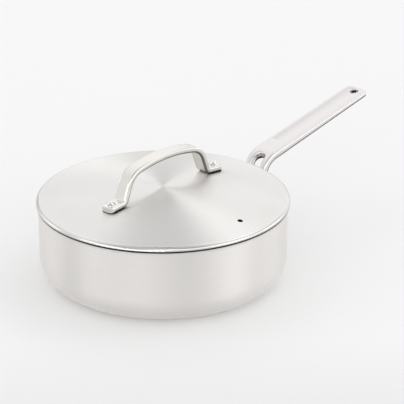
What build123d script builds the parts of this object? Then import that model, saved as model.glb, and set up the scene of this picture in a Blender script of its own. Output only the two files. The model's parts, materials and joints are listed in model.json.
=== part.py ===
from build123d import *
import os
from math import asin, atan2, cos, degrees, radians, sin, sqrt

# Saute pan with a forked long handle and a lift-off lid.
# Millimetres, +Z up. The origin is the middle of the flat base, and the long handle points along +X.

os.makedirs("parts", exist_ok=True)

# Pan: three bonded layers drawn to a straight wall, with a short flared lip
mouth_radius = 120.0
liner_thickness = 0.5
core_thickness = 1.6
skin_thickness = 0.5
rim_height = 78.4
base_corner_radius = 26.5
lip_bend_radius = 4.0
lip_height = 3.2

# Lid: one pressed sheet with a shallow crown, a rounded edge band and a hem turned in below it
lid_overhang = 2.2
lid_sheet = 0.8
lid_band_height = 5.9
lid_crown_rise = 10.8
lid_edge_bend_radius = 3.4
hem_bend_radius = 1.6
hem_mouth_overlap = 0.4
vent_diameter = 4.8
vent_inset = 23.8
vent_azimuth = -89.0

# Ring welded inside the hem, which keeps the lid centred in the mouth
ring_sheet = 0.8
ring_bend_radius = 1.2
ring_depth = 6.0
ring_mouth_clearance = 0.8
ring_hem_clearance = 0.2

# Lid handle: one strap bent to a low arch, with a foot at each end
grip_width = 15.0
grip_thickness = 6.0
grip_edge_radius = 2.0
grip_corner_radius = 5.0
grip_foot_reach = 78.4
grip_leg_base = 57.6
grip_shoulder_reach = 47.7
grip_shoulder_rise = 26.8
grip_crown_rise = 10.6
grip_foot_bend = 5.0
grip_shoulder_bend = 20.0
grip_crown_share = 0.76
lid_rivet_reach = 71.5

# Long handle: a dished bar that thickens towards its fork and turns down into two legs
bar_width = 27.0
bar_end_thickness = 6.0
bar_root_thickness = 8.2
bar_edge_radius = 2.2
bar_run = 167.8
bar_rise_angle = 11.25
elbow_height = 86.0
elbow_outer_bend = 26.0
elbow_inner_bend = 18.0
leg_gap_to_wall = 7.0
leg_thickness = 8.6
knee_inner_bend = 8.0
knee_outer_bend = 17.0
root_height = 40.5
root_thickness = 8.0
end_arc_radius = 45.0
end_corner_radius = 5.5
dish_width = 20.0
dish_depth = 1.0
dish_stop = 22.0
dish_lift_radius = 120.0
hanging_hole_diameter = 9.0
hanging_hole_edge_distance = 8.0
hole_edge_radius = 0.6
fork_gap_width = 12.0
fork_crotch_offset = 16.6
fork_bottom_height = 61.0
fork_edge_radius = 1.8

# Plate that the legs end in, pressed to the curve of the wall
plate_thickness = 3.0
plate_width = 58.0
plate_top = 58.0
plate_bottom = 27.0
plate_corner_radius = 10.0

# Rivets
handle_shank_diameter = 6.0
handle_inner_head_diameter = 14.0
handle_inner_head_height = 3.0
handle_outer_head_diameter = 11.0
handle_outer_head_height = 2.0
lid_shank_diameter = 5.0
lid_head_diameter = 10.5
lid_head_height = 3.2
lid_tail_diameter = 9.0
lid_tail_height = 1.6
shank_clearance = 0.05
shank_bite = 0.6
upper_rivet_offset = 20.4
upper_rivet_height = 48.0
lower_rivet_height = 34.5

# Extra length that carries every cut past the face that it leaves
overrun = 2.0

# Derived sizes
wall_thickness = liner_thickness + core_thickness + skin_thickness
wall_radius = mouth_radius + wall_thickness
lip_start = rim_height - lip_height
lid_radius = wall_radius + lid_overhang
lid_band_top = rim_height + lid_band_height
lid_apex = lid_band_top + lid_crown_rise
edge_centre_radius = lid_radius - lid_edge_bend_radius
dome_radius = (edge_centre_radius**2 + lid_crown_rise**2) / (2 * lid_crown_rise)
dome_centre = lid_apex - dome_radius
grip_shoulder_height = lid_apex + grip_shoulder_rise
grip_crown_height = grip_shoulder_height + grip_crown_rise
leg_face = wall_radius + leg_gap_to_wall
leg_back = leg_face + leg_thickness
handle_reach = leg_face + bar_run
fork_crotch_reach = leg_face + fork_crotch_offset
upper_rivet_azimuth = degrees(asin(upper_rivet_offset / wall_radius))
handle_rivet_places = {
    "left": (upper_rivet_azimuth, upper_rivet_height),
    "right": (-upper_rivet_azimuth, upper_rivet_height),
    "lower": (0, lower_rivet_height),
}


def turned(edges):
    """Solid of revolution about the Z axis from a closed outline drawn as (radius, height)."""
    return revolve(Plane.XZ * make_face(edges), Axis.Z)


def bowl(inset):
    """Everything inside the pan's outer surface moved in by inset, carried on above the rim."""
    wall = wall_radius - inset
    corner = base_corner_radius - inset
    lip = lip_bend_radius + inset
    lip_angle = degrees(asin(lip_height / lip))
    base_edge = wall - corner
    rim_edge = wall + lip - lip * cos(radians(lip_angle))
    top = rim_height + overrun
    return turned(
        [
            Line((0, inset), (base_edge, inset)),
            CenterArc((base_edge, base_corner_radius), corner, -90, 90),
            Line((wall, base_corner_radius), (wall, lip_start)),
            CenterArc((wall + lip, lip_start), lip, 180, -lip_angle),
            Line((rim_edge, rim_height), (rim_edge, top)),
            Line((rim_edge, top), (0, top)),
            Line((0, top), (0, inset)),
        ]
    )


def dome_height(radius):
    """Height of the lid's outer surface at a radius."""
    return dome_centre + sqrt(dome_radius**2 - radius**2)


def dome_tilt(radius):
    """Angle of the dome's outward normal from vertical at a radius."""
    return degrees(asin(radius / dome_radius))


def on_wall(azimuth, height):
    """Frame on the outer wall whose +Z points straight out of the pan."""
    return Rot(0, 0, azimuth) * Pos(wall_radius, 0, height) * Rot(0, 90, 0)


def on_dome(side):
    """Frame on the lid at a handle rivet whose +Z is the dome's normal; side is +1 or -1."""
    place = Pos(side * lid_rivet_reach, 0, dome_height(lid_rivet_reach))
    return place * Rot(0, side * dome_tilt(lid_rivet_reach), 0)


def low_dome(diameter, height):
    """Rivet head: a spherical cap standing on z = 0."""
    half = diameter / 2
    cap_radius = (half**2 + height**2) / (2 * height)
    cap_centre = height - cap_radius
    swing = degrees(atan2(-cap_centre, half))
    return turned(
        [
            Line((0, 0), (half, 0)),
            CenterArc((0, cap_centre), cap_radius, swing, 90 - swing),
            Line((0, height), (0, 0)),
        ]
    )


def shank(diameter, bottom, top):
    """Round pin along Z between two heights."""
    length = top - bottom
    return Pos(0, 0, bottom) * Cylinder(diameter / 2, length, align=(Align.CENTER, Align.CENTER, Align.MIN))


# Pan layers
above_rim = Pos(0, 0, rim_height) * Cylinder(
    wall_radius * 2, overrun * 2, align=(Align.CENTER, Align.CENTER, Align.MIN)
)
rivet_hole = shank(
    handle_shank_diameter + 2 * shank_clearance,
    -wall_thickness - overrun,
    plate_thickness + overrun,
)
rivet_holes = [on_wall(*place) * rivet_hole for place in handle_rivet_places.values()]


def pan_layer(outer_inset, inner_inset):
    """One layer of the pan, ground flat at the rim and drilled for the handle's rivets."""
    return bowl(outer_inset) - bowl(inner_inset) - above_rim - rivet_holes


core_inset = skin_thickness
liner_inset = skin_thickness + core_thickness
pan_outer_skin = pan_layer(0, core_inset)
pan_core = pan_layer(core_inset, liner_inset)
pan_inner_skin = pan_layer(liner_inset, wall_thickness)


# Long handle
def bar_rise(run):
    """Height that the bar's top gains over a horizontal run."""
    angle = radians(bar_rise_angle)
    return run * sin(angle) / cos(angle)


def side_profile():
    """Outline of the handle seen from the side, from the far end over the elbow and down to the root."""
    end_face = handle_reach + overrun
    top_end = (end_face, elbow_height + bar_rise(end_face - leg_face))
    root_start = wall_radius - root_thickness
    elbow_outer = (leg_face, elbow_height)
    knee_inner = (leg_face, root_height + root_thickness)
    root_top = (root_start, root_height + root_thickness)
    root_bottom = (root_start, root_height)
    knee_outer = (leg_back, root_height)
    elbow_inner = (leg_back, elbow_height + bar_rise(leg_thickness) - bar_root_thickness)
    under_end = (end_face, top_end[1] - bar_end_thickness)
    corners = [top_end, elbow_outer, knee_inner, root_top, root_bottom, knee_outer, elbow_inner, under_end]
    bends = {
        elbow_outer: elbow_outer_bend,
        knee_inner: knee_inner_bend,
        knee_outer: knee_outer_bend,
        elbow_inner: elbow_inner_bend,
    }
    outline = make_face(Polyline(*corners, close=True))
    for corner, bend in bends.items():
        outline = fillet(outline.vertices().sort_by_distance(corner)[0], bend)
    return outline


def end_offcut():
    """Plan of what is cut away at the far end, which leaves a bowed end with rounded corners."""
    half_width = bar_width / 2
    bow = Pos(-end_arc_radius, 0) * Circle(end_arc_radius)
    sides = Pos(-end_arc_radius, 0) * Rectangle(
        end_arc_radius, bar_width, align=(Align.MIN, Align.CENTER)
    )
    outline = sides & bow
    corners = outline.vertices().sort_by(Axis.X)[-2:]
    outline = fillet(corners, end_corner_radius)
    corner_rise = (end_arc_radius - end_corner_radius) ** 2 - (half_width - end_corner_radius) ** 2
    corner_start = sqrt(corner_rise) - end_arc_radius
    strip = Pos(corner_start, 0) * Rectangle(
        2 * overrun - corner_start, bar_width + 2 * overrun, align=(Align.MIN, Align.CENTER)
    )
    return strip - outline


def rounded_bar():
    """The profile at full width, with its bowed end and every outer edge rounded."""
    bar = extrude(Plane.XZ * side_profile(), bar_width / 2, both=True)
    bar -= at_tip * extrude(end_offcut(), bar_width, both=True)
    through_end = Axis((0, 0, 0), (-sin(radians(bar_rise_angle)), 0, cos(radians(bar_rise_angle))))
    rims = bar.edges().filter_by_position(Axis.X, wall_radius, handle_reach)
    rims -= rims.filter_by(Axis.Y)
    rims -= rims.filter_by(through_end)
    return fillet(rims, bar_edge_radius)


def dish_cutter():
    """Round cutter that runs in from the far end along the bar and lifts out before the fork."""
    dish_radius = ((dish_width / 2) ** 2 + dish_depth**2) / (2 * dish_depth)
    turn = fork_crotch_offset + dish_stop - bar_run
    lift = dish_stop**2 / (2 * dish_lift_radius)
    path = Line((overrun, 0), (turn, 0))
    path += RadiusArc((turn, 0), (turn - dish_stop, lift), -dish_lift_radius)
    height = Pos(0, 0, dish_radius - dish_depth)
    circle = Pos(overrun, 0, 0) * (Plane.YZ * Circle(dish_radius))
    return at_tip * height * sweep(circle, Plane.XZ * path)


def fork_slot():
    """The gap between the legs: round where it meets the bar and round at its foot."""
    half = fork_gap_width / 2
    run = fork_crotch_reach - half
    plan = Rectangle(run, fork_gap_width, align=(Align.MIN, Align.CENTER)) + Pos(run, 0) * Circle(half)
    slot = extrude(plan, elbow_height)
    foot = Rot(0, 90, 0) * Cylinder(half, run, align=(Align.CENTER, Align.CENTER, Align.MIN))
    return Pos(0, 0, fork_bottom_height + half) * (slot + foot)


def riveted_plate():
    """Plate with rounded corners, curved to lie on the wall."""
    plate_height = plate_top - plate_bottom
    plate_middle = (plate_top + plate_bottom) / 2
    outline = RectangleRounded(plate_width, plate_height, plate_corner_radius)
    plate = Plane.YZ * Pos(0, plate_middle) * extrude(outline, handle_reach)
    plate &= Cylinder(wall_radius + plate_thickness, handle_reach)
    return plate


def long_handle_solid():
    """Forked bar joined to the riveted plate."""
    bar = rounded_bar() - dish_cutter()
    slot = fork_slot()
    forked = bar - slot
    forked = fillet(new_edges(bar, slot, combined=forked), fork_edge_radius)
    hole = Cylinder(hanging_hole_diameter / 2, bar_width)
    hole = at_tip * Pos(-hanging_hole_edge_distance, 0, 0) * hole
    drilled = forked - hole
    drilled = fillet(new_edges(forked, hole, combined=drilled), hole_edge_radius)
    handle = drilled + riveted_plate()
    return handle - Cylinder(wall_radius, handle_reach) - rivet_holes


at_tip = Pos(handle_reach, 0, elbow_height + bar_rise(bar_run)) * Rot(0, -bar_rise_angle, 0)
long_handle = long_handle_solid()


# Rivets of the long handle
def handle_rivet(azimuth, height):
    """Rivet through the wall and the plate, its heads seated on the curved faces."""
    place = on_wall(azimuth, height)
    outer_head = low_dome(handle_outer_head_diameter, handle_outer_head_height)
    inner_head = low_dome(handle_inner_head_diameter, handle_inner_head_height)
    outer_head += shank(handle_outer_head_diameter, -overrun, 0)
    inner_head += shank(handle_inner_head_diameter, -overrun, 0)
    outside = place * Pos(0, 0, plate_thickness) * outer_head
    inside = place * Pos(0, 0, -wall_thickness) * Rot(180, 0, 0) * inner_head
    outside -= Cylinder(wall_radius + plate_thickness, rim_height * 2)
    inside &= Cylinder(mouth_radius, rim_height * 2)
    pin = place * shank(handle_shank_diameter, -wall_thickness - shank_bite, plate_thickness + shank_bite)
    return outside + inside + pin


handle_rivets = {name: handle_rivet(*place) for name, place in handle_rivet_places.items()}


# Lid
def lid_sheet_solid():
    """Pressed sheet: crown, rounded edge band and hem, each bend drawn about one centre."""
    crown_centre = (0, dome_centre)
    edge_centre_height = dome_centre + sqrt(
        (dome_radius - lid_edge_bend_radius) ** 2 - edge_centre_radius**2
    )
    edge_centre = (edge_centre_radius, edge_centre_height)
    hem_centre = (lid_radius - hem_bend_radius, rim_height + hem_bend_radius)
    meet = degrees(atan2(edge_centre_height - dome_centre, edge_centre_radius))
    inner_dome = dome_radius - lid_sheet
    inner_edge = lid_edge_bend_radius - lid_sheet
    inner_hem = hem_bend_radius - lid_sheet
    hem_lip = mouth_radius + hem_mouth_overlap
    inner_wall = lid_radius - lid_sheet
    return turned(
        [
            CenterArc(crown_centre, dome_radius, 90, meet - 90),
            CenterArc(edge_centre, lid_edge_bend_radius, meet, -meet),
            Line((lid_radius, edge_centre_height), (lid_radius, hem_centre[1])),
            CenterArc(hem_centre, hem_bend_radius, 0, -90),
            Line((hem_centre[0], rim_height), (hem_lip, rim_height)),
            Line((hem_lip, rim_height), (hem_lip, rim_height + lid_sheet)),
            Line((hem_lip, rim_height + lid_sheet), (hem_centre[0], rim_height + lid_sheet)),
            CenterArc(hem_centre, inner_hem, -90, 90),
            Line((inner_wall, hem_centre[1]), (inner_wall, edge_centre_height)),
            CenterArc(edge_centre, inner_edge, 0, meet),
            CenterArc(crown_centre, inner_dome, meet, 90 - meet),
            Line((0, dome_centre + inner_dome), (0, lid_apex)),
        ]
    )


def locating_ring():
    """Ring with a flange lying on the hem and a short wall reaching down into the mouth."""
    outer = mouth_radius - ring_mouth_clearance
    inner = outer - ring_sheet
    flange_edge = lid_radius - hem_bend_radius - ring_hem_clearance
    underside = rim_height + lid_sheet
    top = underside + ring_sheet
    bottom = rim_height - ring_depth
    bend_centre = (outer + ring_bend_radius, underside - ring_bend_radius)
    outer_bend = ring_bend_radius + ring_sheet
    return turned(
        [
            Line((flange_edge, underside), (flange_edge, top)),
            Line((flange_edge, top), (bend_centre[0], top)),
            CenterArc(bend_centre, outer_bend, 90, 90),
            Line((inner, bend_centre[1]), (inner, bottom)),
            Line((inner, bottom), (outer, bottom)),
            Line((outer, bottom), (outer, bend_centre[1])),
            CenterArc(bend_centre, ring_bend_radius, 180, -90),
            Line((bend_centre[0], underside), (flange_edge, underside)),
        ]
    )


lid_rivet_hole = shank(
    lid_shank_diameter + 2 * shank_clearance,
    -lid_sheet - overrun,
    grip_thickness + overrun,
)
lid_rivet_holes = [on_dome(side) * lid_rivet_hole for side in (1, -1)]
vent_circle_radius = lid_radius - vent_inset
vent_x = vent_circle_radius * cos(radians(vent_azimuth))
vent_y = vent_circle_radius * sin(radians(vent_azimuth))
vent_height = dome_height(vent_circle_radius)
vent = Pos(vent_x, vent_y, vent_height) * Cylinder(vent_diameter / 2, 2 * (lid_sheet + overrun))
lid_shell = lid_sheet_solid() - vent - lid_rivet_holes
lid_locating_ring = locating_ring()


# Lid handle
def foot_height(reach):
    """Height of the foot's centre line, which lies along the dome's tangent at the rivet."""
    tilt = radians(dome_tilt(lid_rivet_reach))
    drop = (reach - lid_rivet_reach) * sin(tilt) / cos(tilt)
    return dome_height(lid_rivet_reach) - drop + grip_thickness / 2 / cos(tilt)


def lid_handle_solid():
    """Strap swept along the arch, its feet rounded in plan."""
    foot = (grip_foot_reach + overrun, foot_height(grip_foot_reach + overrun))
    base = (grip_leg_base, foot_height(grip_leg_base))
    shoulder = (grip_shoulder_reach, grip_shoulder_height)
    crown = (0, grip_crown_height)
    crown_turn = atan2(grip_crown_rise, grip_shoulder_reach)
    crown_bend = grip_crown_share * grip_shoulder_reach / (sin(crown_turn) / cos(crown_turn))
    right = [foot, base, shoulder]
    left = [(-x, z) for x, z in reversed(right)]
    bends = (grip_foot_bend, grip_shoulder_bend, crown_bend, grip_shoulder_bend, grip_foot_bend)
    path = Plane.XZ * FilletPolyline(*right, crown, *left, radius=bends)
    start = Plane(origin=path @ 0, x_dir=(0, 1, 0), z_dir=path % 0)
    section = RectangleRounded(grip_width, grip_thickness, grip_edge_radius)
    strap = sweep(start * section, path)
    plan = RectangleRounded(2 * grip_foot_reach, grip_width, grip_corner_radius)
    strap &= extrude(plan, grip_crown_height + grip_thickness)
    return strap - lid_rivet_holes


lid_handle = lid_handle_solid()


# Rivets of the lid handle
def lid_rivet():
    """Rivet with a domed head above the foot and a flat one seated under the curved sheet."""
    head = Pos(0, 0, grip_thickness) * low_dome(lid_head_diameter, lid_head_height)
    tail = shank(lid_tail_diameter, -lid_sheet - lid_tail_height, 0)
    tail &= Pos(0, 0, -dome_radius) * Sphere(dome_radius - lid_sheet)
    pin = shank(lid_shank_diameter, -lid_sheet - shank_bite, grip_thickness + shank_bite)
    return pin + head + tail


lid_rivets = {"near": on_dome(1) * lid_rivet(), "far": on_dome(-1) * lid_rivet()}

# Files
nodes = {
    "pan_outer_skin": pan_outer_skin,
    "pan_core": pan_core,
    "pan_inner_skin": pan_inner_skin,
    "long_handle": long_handle,
    "lid_shell": lid_shell,
    "lid_locating_ring": lid_locating_ring,
    "lid_handle": lid_handle,
}
for name, solid in handle_rivets.items():
    nodes["handle_rivet_" + name] = solid
for name, solid in lid_rivets.items():
    nodes["lid_rivet_" + name] = solid
for name, solid in nodes.items():
    export_step(solid, "parts/" + name + ".step")
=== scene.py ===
import bpy
import json
from math import cos, radians, sin
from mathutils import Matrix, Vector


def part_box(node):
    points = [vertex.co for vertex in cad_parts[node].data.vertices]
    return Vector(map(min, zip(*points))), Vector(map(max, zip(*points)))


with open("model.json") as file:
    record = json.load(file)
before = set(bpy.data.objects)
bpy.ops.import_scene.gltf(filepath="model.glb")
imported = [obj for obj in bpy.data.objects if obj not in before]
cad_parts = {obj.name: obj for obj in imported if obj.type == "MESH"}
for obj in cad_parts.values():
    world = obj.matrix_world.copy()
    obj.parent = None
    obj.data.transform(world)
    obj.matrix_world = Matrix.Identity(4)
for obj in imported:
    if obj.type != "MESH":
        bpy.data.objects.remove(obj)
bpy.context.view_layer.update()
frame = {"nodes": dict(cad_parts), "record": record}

# The pan: a drawn vessel of three bonded layers, stainless steel outside and inside with an aluminium core.
# It is spun on its axis against abrasive belts, so that fine scratches run round the wall and across the base
# in rings, and the rim is ground flat, where the core shows as a thin line.
STEEL_OUTSIDE = (0.80, 0.779, 0.759)
STEEL_INSIDE = (0.72, 0.71, 0.69)
CORE_ALUMINIUM = (0.80, 0.80, 0.81)
WALL_ROUGHNESS = 0.40
INSIDE_ROUGHNESS = 0.34
CORE_ROUGHNESS = 0.42
SCRATCHES = (7.0, 2600.0)
RINGS = (1.6, 420.0)
SMEARS = 22.0
SCRATCH_DEPTH = 0.00002
SCRATCH_STRENGTH = 0.35
SCRATCH_ROUGHNESS = 0.05
RING_SHADE = 0.006
SMEAR_SHADE = 0.012
SMEAR_ROUGHNESS = 0.025
DARK_EDGE = 0.0001


class Nodes:
    """Adds nodes to one material or world and links them, so that it reads as a short recipe."""

    def __init__(self, owner):
        owner.use_nodes = True
        self.owner = owner
        self.tree = owner.node_tree
        self.shader = self.tree.nodes.get("Principled BSDF")

    def add(self, kind, inputs=(), **settings):
        """A new node with its settings, its inputs given as values or as outputs to link."""
        node = self.tree.nodes.new(kind)
        for key, value in settings.items():
            setattr(node, key, value)
        for index, value in enumerate(inputs):
            self.feed(node.inputs[index], value)
        return node

    def feed(self, socket, value):
        """Links an output to the socket, or sets the socket's own value."""
        if isinstance(value, bpy.types.NodeSocket):
            self.tree.links.new(value, socket)
        elif value is not None:
            socket.default_value = value

    def maths(self, operation, first, second=None):
        """The result of one sum on numbers."""
        return self.add("ShaderNodeMath", (first, second), operation=operation).outputs[0]

    def vector(self, operation, first, second=None):
        """The result of one sum on vectors, which may be a number."""
        node = self.add("ShaderNodeVectorMath", (first, second), operation=operation)
        return node.outputs["Value" if operation in ("LENGTH", "DOT_PRODUCT") else "Vector"]

    def noise(self, where, scale=1.0, detail=2.0):
        """Noise at a place, as a number."""
        node = self.add("ShaderNodeTexNoise")
        self.feed(node.inputs["Vector"], where)
        node.inputs["Scale"].default_value = scale
        node.inputs["Detail"].default_value = detail
        return node.outputs["Factor"] if "Factor" in node.outputs else node.outputs["Fac"]

    def spread(self, value, low, high, start=0.3, stop=0.7):
        """Low up to the start value, high from the stop value, and even between them."""
        return self.add("ShaderNodeMapRange", (value, start, stop, low, high)).outputs[0]

    def shade(self, colour, factor):
        """A colour made lighter or darker by a factor."""
        node = self.add("ShaderNodeVectorMath", operation="SCALE")
        node.inputs[0].default_value = colour
        self.feed(node.inputs["Scale"], factor)
        return node.outputs["Vector"]


def place_parts(nodes):
    """Object coordinates and their three parts."""
    place = nodes.add("ShaderNodeTexCoord").outputs["Object"]
    parts = nodes.add("ShaderNodeSeparateXYZ", (place,)).outputs
    return place, parts[0], parts[1], parts[2]


def ring_noise(nodes, outward, along, scales, detail):
    """Noise drawn out round the axis; the scales are those round it and across the rings."""
    out = nodes.add("ShaderNodeSeparateXYZ", (outward,)).outputs
    round_scale, across_scale = scales
    drawn = nodes.add("ShaderNodeCombineXYZ", (
        nodes.maths("MULTIPLY", out[0], round_scale),
        nodes.maths("MULTIPLY", out[1], round_scale),
        nodes.maths("MULTIPLY", along, across_scale),
    )).outputs[0]
    return nodes.noise(drawn, detail=detail)


def turned_steel(name, colour, roughness, slope, anisotropy, grain_shade=0.035,
                 polished_from=None, fold=None, hole=None):
    """Steel brushed round the Z axis. The slope is 1 where height grows with radius and -1 where it falls.

    Beyond the polished radius it is smooth and painted shade darkens it, and below the fold height painted
    shade stands in for the dark gap under the lid's edge.
    A hole, given as the place of its axis and its radius, has its wall painted with shade.
    """
    nodes = Nodes(bpy.data.materials.new(name))
    place, x, y, z = place_parts(nodes)
    flat = nodes.add("ShaderNodeCombineXYZ", (x, y, 0.0)).outputs[0]
    radius = nodes.vector("LENGTH", flat)
    outward = nodes.vector("NORMALIZE", flat)
    along = nodes.maths("ADD", radius, nodes.maths("MULTIPLY", z, slope))
    scratches = ring_noise(nodes, outward, along, SCRATCHES, detail=3.0)
    bands = ring_noise(nodes, outward, along, RINGS, detail=2.0)
    smears = nodes.noise(place, SMEARS, detail=3.0)
    light = nodes.maths("ADD", nodes.spread(scratches, 1.0 - grain_shade, 1.0 + grain_shade),
                        nodes.spread(bands, -RING_SHADE, RING_SHADE))
    light = nodes.maths("ADD", light, nodes.spread(smears, -SMEAR_SHADE, SMEAR_SHADE))
    face_rough = nodes.spread(scratches, roughness - SCRATCH_ROUGHNESS, roughness + SCRATCH_ROUGHNESS)
    rough = nodes.maths("ADD", face_rough, nodes.spread(smears, -SMEAR_ROUGHNESS, SMEAR_ROUGHNESS))
    if polished_from is not None:
        ends = (polished_from, polished_from + POLISH_FADE)
        # Painted shade: the colour of the polished band is darkened.
        light = nodes.maths("MULTIPLY", light, nodes.spread(radius, 1.0, POLISHED_BAND_SHADE, *ends))
        rough = nodes.maths("MULTIPLY", rough, nodes.spread(radius, 1.0, POLISHED_SHARE, *ends))
    if fold is not None:
        # Painted shade: below the fold height the colour is darkened to stand in for the gap between the
        # lid's edge and the pan's rim.
        painted_gap_shade = nodes.spread(z, FOLD_SHADE, 1.0, fold, fold + FOLD_FADE)
        light = nodes.maths("MULTIPLY", light, painted_gap_shade)
    if hole is not None:
        middle, hole_radius = hole
        away = nodes.vector("LENGTH", nodes.vector("SUBTRACT", flat, middle))
        # Painted shade: the hole's wall is darkened as if in shadow.
        painted_hole_shade = nodes.spread(away, HOLE_SHADE, 1.0, hole_radius + DARK_EDGE, hole_radius + HOLE_FADE)
        light = nodes.maths("MULTIPLY", light, painted_hole_shade)
    nodes.feed(nodes.shader.inputs["Base Color"], nodes.shade(colour, light))
    nodes.feed(nodes.shader.inputs["Roughness"], rough)
    nodes.shader.inputs["Metallic"].default_value = 1.0
    nodes.shader.inputs["Anisotropic"].default_value = anisotropy
    normal = nodes.add("ShaderNodeNewGeometry").outputs["Normal"]
    round_axis = nodes.vector("CROSS_PRODUCT", (0.0, 0.0, 1.0), outward)
    nodes.feed(nodes.shader.inputs["Tangent"], nodes.vector("CROSS_PRODUCT", round_axis, normal))
    bump = nodes.add("ShaderNodeBump")
    bump.inputs["Strength"].default_value = SCRATCH_STRENGTH
    bump.inputs["Distance"].default_value = SCRATCH_DEPTH
    nodes.feed(bump.inputs["Height"], scratches)
    nodes.feed(nodes.shader.inputs["Normal"], bump.outputs[0])
    return nodes.owner


def dress(names, material):
    """Gives CAD nodes their finish."""
    for name in names:
        for part_slot in frame["nodes"][name].material_slots:
            part_slot.material = material


dress(["pan_outer_skin"], turned_steel("brushed_wall", STEEL_OUTSIDE, WALL_ROUGHNESS, slope=1.0,
                                       anisotropy=0.95, grain_shade=0.012))
dress(["pan_inner_skin"], turned_steel("brushed_inside", STEEL_INSIDE, INSIDE_ROUGHNESS, slope=1.0,
                                       anisotropy=0.7))
dress(["pan_core"], turned_steel("aluminium_core", CORE_ALUMINIUM, CORE_ROUGHNESS, slope=1.0,
                                 anisotropy=0.3))

# The long handle: one casting of stainless steel, forked at its root, with a shallow dish along the grip.
# It is blasted to an even satin and its edges are then buffed, so the edges are glossier than the dish and a
# painted highlight makes them brighter, and the finish has no direction.
HANDLE_STEEL = (0.725, 0.705, 0.698)
HANDLE_ROUGHNESS = 0.30
BUFFED_ROUGHNESS = 0.16
BUFFED_EDGE = 0.0026
EDGE_HIGHLIGHT_GAIN = 0.10
SATIN_GRAIN = (900.0, 900.0, 900.0)
SATIN_STRENGTH = 0.1
SATIN_DEPTH = 0.00001
SATIN_SHADE = 0.015
SATIN_ROUGHNESS = 0.02
CLOUDS = 60.0
CLOUD_SHADE = 0.008
CLOUD_ROUGHNESS = 0.02
EDGE_TURN = (0.90, 0.995)
BEVEL_SAMPLES = 8
UNDERSIDE_SHADE = 0.95
UNDER_SHADE_RIDGE = (0.002, 0.02)
UNDER_SHADE_FACING = (0.0, 0.05)
MILLIMETRE = 0.001
hole_mount = next(mount for mount in frame["record"]["mounts"] if mount["name"] == "hanging_hole")
hanging_hole = (hole_mount["pos_m"], hole_mount["axis"], hole_mount["dims"]["r_mm"] * MILLIMETRE)
HOLE_MOUTH = (0.0026, 0.0032)
HOLE_MOUTH_SHADE = 0.30
BORE_FADE = 0.0005


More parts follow.
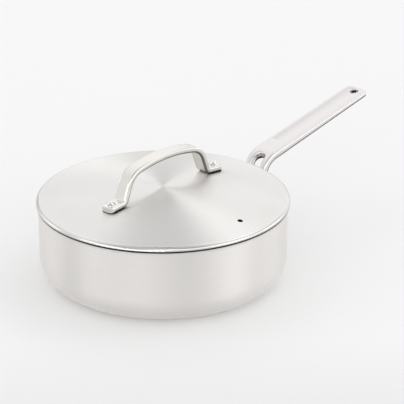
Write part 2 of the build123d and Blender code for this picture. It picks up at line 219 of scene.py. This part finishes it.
def buffed_steel(name, colour, roughness, edge_roughness, edge_width, grain=SATIN_GRAIN, under_shade=0.0,
                 bore=None, seat=None):
    """Satin steel whose edges are polished glossier than its faces, with a painted highlight that makes them
    brighter.

    Painted shade darkens its lower edges. A bore, given as a point, an axis and a radius, has its mouth
    painted with shade.
    A seat, given as the radius and the top of a dome, puts painted shade on the rim that lies on it.
    """
    nodes = Nodes(bpy.data.materials.new(name))
    place, x, y, z = place_parts(nodes)
    unmoved = (0.0, 0.0, 0.0)
    stretched = nodes.add("ShaderNodeMapping", (place, unmoved, unmoved, grain)).outputs[0]
    satin = nodes.noise(stretched)
    cloudy = nodes.noise(place, CLOUDS, detail=3.0)
    rounded = nodes.add("ShaderNodeBevel", samples=BEVEL_SAMPLES)
    rounded.inputs["Radius"].default_value = edge_width
    normal = nodes.add("ShaderNodeNewGeometry").outputs["Normal"]
    facing = nodes.vector("DOT_PRODUCT", rounded.outputs[0], normal)
    edge = nodes.spread(facing, 1.0, 0.0, *EDGE_TURN)
    light = nodes.maths("ADD", nodes.spread(satin, 1.0 - SATIN_SHADE, 1.0 + SATIN_SHADE),
                        nodes.spread(cloudy, -CLOUD_SHADE, CLOUD_SHADE))
    # Painted highlight: the colour is lightened along the edges, besides their real gloss.
    light = nodes.maths("ADD", light, nodes.maths("MULTIPLY", edge, EDGE_HIGHLIGHT_GAIN))
    if under_shade:
        # Painted shade: the colour is darkened along the lower rounded edges.
        turned = nodes.add("ShaderNodeSeparateXYZ", (rounded.outputs[0],)).outputs
        sideways = nodes.maths("POWER", turned[1], 2.0)
        ridge = nodes.maths("MULTIPLY", sideways, nodes.maths("SUBTRACT", 1.0, sideways))
        ridge = nodes.spread(ridge, 0.0, under_shade, *UNDER_SHADE_RIDGE)
        under = nodes.spread(nodes.maths("MULTIPLY", turned[2], -1.0), 0.0, 1.0, *UNDER_SHADE_FACING)
        unshaded = nodes.maths("SUBTRACT", 1.0, nodes.maths("MULTIPLY", ridge, under))
        light = nodes.maths("MULTIPLY", light, unshaded)
    if bore is not None:
        point, axis, bore_radius = bore
        offset = nodes.vector("SUBTRACT", place, point)
        away = nodes.vector("LENGTH", nodes.vector("CROSS_PRODUCT", offset, axis))
        depth = nodes.vector("DOT_PRODUCT", offset, axis)
        # Painted shade: the bore's wall and mouth are darkened as if in shadow.
        painted_hole_shade = nodes.spread(away, 0.0, 1.0, bore_radius + DARK_EDGE, bore_radius + BORE_FADE)
        painted_hole_shade = nodes.maths("MAXIMUM", painted_hole_shade, nodes.spread(depth, 1.0, HOLE_MOUTH_SHADE, *HOLE_MOUTH))
        light = nodes.maths("MULTIPLY", light, painted_hole_shade)
    if seat is not None:
        dome_radius, dome_top = seat
        bow = nodes.maths("ADD", nodes.maths("POWER", x, 2.0), nodes.maths("POWER", y, 2.0))
        above = nodes.maths("ADD", z, nodes.maths("DIVIDE", bow, 2.0 * dome_radius))
        # Painted shade: the feet are darkened where they lie on the lid, as a contact shadow.
        painted_seat_shade = nodes.spread(above, SEAT_SHADE, 1.0, dome_top + SEAT_RIM[0], dome_top + SEAT_RIM[1])
        light = nodes.maths("MULTIPLY", light, painted_seat_shade)
    nodes.feed(nodes.shader.inputs["Base Color"], nodes.shade(colour, light))
    face_rough = nodes.spread(satin, roughness - SATIN_ROUGHNESS, roughness + SATIN_ROUGHNESS)
    face_rough = nodes.maths("ADD", face_rough, nodes.spread(cloudy, -CLOUD_ROUGHNESS, CLOUD_ROUGHNESS))
    rough = nodes.add("ShaderNodeMix", data_type="FLOAT")
    nodes.feed(rough.inputs[0], edge)
    nodes.feed(rough.inputs[2], face_rough)
    rough.inputs[3].default_value = edge_roughness
    nodes.feed(nodes.shader.inputs["Roughness"], rough.outputs[0])
    nodes.shader.inputs["Metallic"].default_value = 1.0
    bump = nodes.add("ShaderNodeBump")
    bump.inputs["Strength"].default_value = SATIN_STRENGTH
    bump.inputs["Distance"].default_value = SATIN_DEPTH
    nodes.feed(bump.inputs["Height"], satin)
    nodes.feed(bump.inputs["Normal"], rounded.outputs[0])
    nodes.feed(nodes.shader.inputs["Normal"], bump.outputs[0])
    return nodes.owner


dress(["long_handle"], buffed_steel("satin_handle", HANDLE_STEEL, HANDLE_ROUGHNESS, BUFFED_ROUGHNESS,
                                    BUFFED_EDGE, under_shade=UNDERSIDE_SHADE, bore=hanging_hole))

# The three rivets of the long handle: stainless pins headed over the plate and inside the wall.
# Their domes are tumbled bright before they are set, and setting leaves faint rings on them.
RIVET_STEEL = (0.80, 0.79, 0.775)
RIVET_ROUGHNESS = 0.2
RIVET_EDGE = 0.0006
dress(
    ["handle_rivet_left", "handle_rivet_right", "handle_rivet_lower"],
    buffed_steel("rivet_steel", RIVET_STEEL, RIVET_ROUGHNESS, BUFFED_ROUGHNESS, RIVET_EDGE),
)

# The lid: one pressed stainless sheet with a low crown, a rounded band, a hem turned in below it and a vent
# hole punched through. It is brushed in rings on a spindle, so light runs out from its middle in rays, and
# the edge band is polished smoother, with painted shade darkening its colour.
LID_STEEL = (0.80, 0.785, 0.768)
LID_ROUGHNESS = 0.42
POLISHED_WIDTH = 0.0036
POLISHED_SHARE = 0.30
POLISHED_BAND_SHADE = 0.86
POLISH_FADE = 0.0006
FOLD_REACH = 0.0019
FOLD_SHADE = 0.03
FOLD_FADE = 0.0002
VENT_INSET = 0.0238
VENT_SIDE = radians(-89.0)
VENT_RADIUS = 0.0024
HOLE_SHADE = 0.02
HOLE_FADE = 0.0004
lid_low, lid_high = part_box("lid_shell")
lid_radius = lid_high.y
vent_reach = lid_radius - VENT_INSET
vent = ((vent_reach * cos(VENT_SIDE), vent_reach * sin(VENT_SIDE), 0.0), VENT_RADIUS)
dress(["lid_shell"], turned_steel("brushed_lid", LID_STEEL, LID_ROUGHNESS, slope=-1.0, anisotropy=0.96,
                                  grain_shade=0.015, polished_from=lid_radius - POLISHED_WIDTH,
                                  fold=lid_low.z + FOLD_REACH, hole=vent))

# The locating ring: a strip of stainless steel with a flange, rolled to a ring and spot welded inside the
# hem. It keeps the lid in the mouth of the pan, and is left as it was rolled.
RING_STEEL = (0.74, 0.73, 0.71)
RING_ROUGHNESS = 0.38
dress(["lid_locating_ring"], turned_steel("rolled_ring", RING_STEEL, RING_ROUGHNESS, slope=-1.0,
                                          anisotropy=0.5))

# The lid handle: a stainless strap bent to a low arch, its feet lying on the lid.
# It is polished along its length, so that fine lines run along the arch and the edges are mirror bright, with
# a painted highlight adding to them.
GRIP_STEEL = (0.725, 0.706, 0.672)
GRIP_ROUGHNESS = 0.2
GRIP_EDGE = 0.001
MIRROR_ROUGHNESS = 0.1
POLISHING_LINES = (60.0, 1500.0, 200.0)
GRIP_UNDER_SHADE = 0.7
LID_EDGE_BEND = 0.0034
LID_CROWN_RISE = 0.0108
SEAT_SHADE = 0.05
SEAT_RIM = (0.0006, 0.0016)
dome_reach = lid_radius - LID_EDGE_BEND
lid_dome = ((dome_reach**2 + LID_CROWN_RISE**2) / (2.0 * LID_CROWN_RISE), lid_high.z)
dress(["lid_handle"], buffed_steel("polished_grip", GRIP_STEEL, GRIP_ROUGHNESS, MIRROR_ROUGHNESS, GRIP_EDGE,
                                   grain=POLISHING_LINES, under_shade=GRIP_UNDER_SHADE, seat=lid_dome))

# The lid handle's rivets: stainless pins with a round head above each foot and a flat one under the sheet.
# Their round heads are polished with the handle.
LID_RIVET_ROUGHNESS = 0.14
LID_RIVET_EDGE = 0.0005
dress(
    ["lid_rivet_near", "lid_rivet_far"],
    buffed_steel("lid_rivet_steel", RIVET_STEEL, LID_RIVET_ROUGHNESS, MIRROR_ROUGHNESS, LID_RIVET_EDGE),
)

# The floor: a pale sheet with painted shade that makes it a little darker towards the camera. A small share
# of it glows for what the camera and the steel see, which keeps the pan's shadow as light as in a white tent.
FLOOR_SIZE = 40.0
FLOOR_COLOUR = (0.93, 0.93, 0.93)
NEAR_FLOOR_SHADE = 0.81
NEAR_FLOOR = (0.15, 0.46)
NEAR_SIDE = (-cos(radians(45.4)), -sin(radians(45.4)), 0.0)
FLOOR_GLOW_SHARE = 0.14
FLOOR_GLOW = 0.99
FLOOR_ROUGHNESS = 0.9
bpy.ops.object.select_all(action="DESELECT")
bpy.ops.mesh.primitive_plane_add(size=FLOOR_SIZE, location=(0.0, 0.0, 0.0))
floor = bpy.context.object
floor.name = "floor"
floor_nodes = Nodes(bpy.data.materials.new("pale_floor"))
# Painted shade: the floor's colour darkens towards the camera's side.
nearness = floor_nodes.vector("DOT_PRODUCT", place_parts(floor_nodes)[0], NEAR_SIDE)
floor_tone = floor_nodes.shade(
    FLOOR_COLOUR, floor_nodes.spread(nearness, 1.0, NEAR_FLOOR_SHADE, *NEAR_FLOOR))
floor_nodes.feed(floor_nodes.shader.inputs["Base Color"], floor_tone)
floor_nodes.shader.inputs["Roughness"].default_value = FLOOR_ROUGHNESS
floor_nodes.shader.inputs["Specular IOR Level"].default_value = 0.0
sight = floor_nodes.add("ShaderNodeLightPath").outputs
seen = floor_nodes.maths("MAXIMUM", sight["Is Camera Ray"], sight["Is Glossy Ray"])
seen = floor_nodes.maths("MAXIMUM", seen, sight["Is Transmission Ray"])
floor_glow = floor_nodes.add("ShaderNodeEmission", (floor_tone, FLOOR_GLOW)).outputs[0]
lit_through = floor_nodes.add("ShaderNodeMixShader", (
    floor_nodes.maths("MULTIPLY", seen, FLOOR_GLOW_SHARE), floor_nodes.shader.outputs[0], floor_glow))
floor_nodes.feed(floor_nodes.tree.nodes["Material Output"].inputs["Surface"], lit_through.outputs[0])
floor.data.materials.append(floor_nodes.owner)

# The white tent: soft round panels light it from outside in tiers, and a narrow gap stays dark above the far
# side. Each tier is given by its height in degrees, its sharpness and its panels' strengths. The panels are
# spread evenly round it and counted to the right from the camera's side.
CAMERA_SIDE = 224.6
# These strengths weren't chosen by hand. A separate program fitted them to the photograph's brightness, and
# only seven of the nine at 52 degrees were changed by hand afterwards.
TENT = (
    (6, 22, (0, 0.88, 1.29, 2.45, 0.97, 1.68, 0.81, 0.63, 0.65, 0.25, 0.73, 1.59, 0.05, 1.71, 1.59, 1.84)),
    (28, 20, (1.9, 0.25, 0.55, 0, 0.2, 0, 0.58, 0.59, 0.65, 0.04, 0.48, 0.48, 0, 0.12)),
    (52, 16, (0, 0.08, 0.66, 1.16, 0.66, 0.62, 0.80, 0.38, 0.42)),
    (85, 10, (0.57,)),
)
GAP_HEIGHT = 62.0
GAP_SIDE = 180.0
GAP_SHARPNESS = 110.0


def spot(nodes, direction, height, side, sharpness):
    """A soft round spot at a height and a side of the tent: 1 in its middle, falling to 0 round it."""
    turn = radians(CAMERA_SIDE + side)
    level = cos(radians(height))
    middle = (level * cos(turn), level * sin(turn), sin(radians(height)))
    away = nodes.maths("SUBTRACT", 1.0, nodes.vector("DOT_PRODUCT", direction, middle))
    return nodes.maths("EXPONENT", nodes.maths("MULTIPLY", away, -sharpness))


tent = Nodes(bpy.data.worlds.new("white_tent"))
bpy.context.scene.world = tent.owner
direction = tent.vector("NORMALIZE", tent.add("ShaderNodeTexCoord").outputs["Generated"])
tent_light = 0.0
for height, sharpness, strengths in TENT:
    for index, strength in enumerate(strengths):
        if strength:
            panel = spot(tent, direction, height, 360.0 * index / len(strengths), sharpness)
            tent_light = tent.maths("ADD", tent_light, tent.maths("MULTIPLY", panel, strength))
gap = spot(tent, direction, GAP_HEIGHT, GAP_SIDE, GAP_SHARPNESS)
tent_light = tent.maths("MULTIPLY", tent_light, tent.maths("SUBTRACT", 1.0, gap))
backdrop = tent.tree.nodes["Background"]
backdrop.inputs["Color"].default_value = (1.0, 1.0, 1.0, 1.0)
tent.feed(backdrop.inputs["Strength"], tent_light)

# The camera: a long lens at the photograph's angle, looking down on the pan from the side away from the long
# handle.
CAMERA_PLACE = (-1.41585, -1.39611, 0.92272)
CAMERA_TURN = (radians(66.98), 0.0, radians(-46.5))
CAMERA_LENS = 196.04
SENSOR_WIDTH = 36.0
CAMERA_REACH = 100.0
camera = bpy.data.cameras.new("photo_camera")
camera.lens = CAMERA_LENS
camera.sensor_width = SENSOR_WIDTH
camera.clip_end = CAMERA_REACH
camera_object = bpy.data.objects.new("photo_camera", camera)
bpy.context.collection.objects.link(camera_object)
camera_object.location = CAMERA_PLACE
camera_object.rotation_euler = CAMERA_TURN
bpy.context.scene.camera = camera_object
bpy.context.scene.view_settings.view_transform = "Standard"
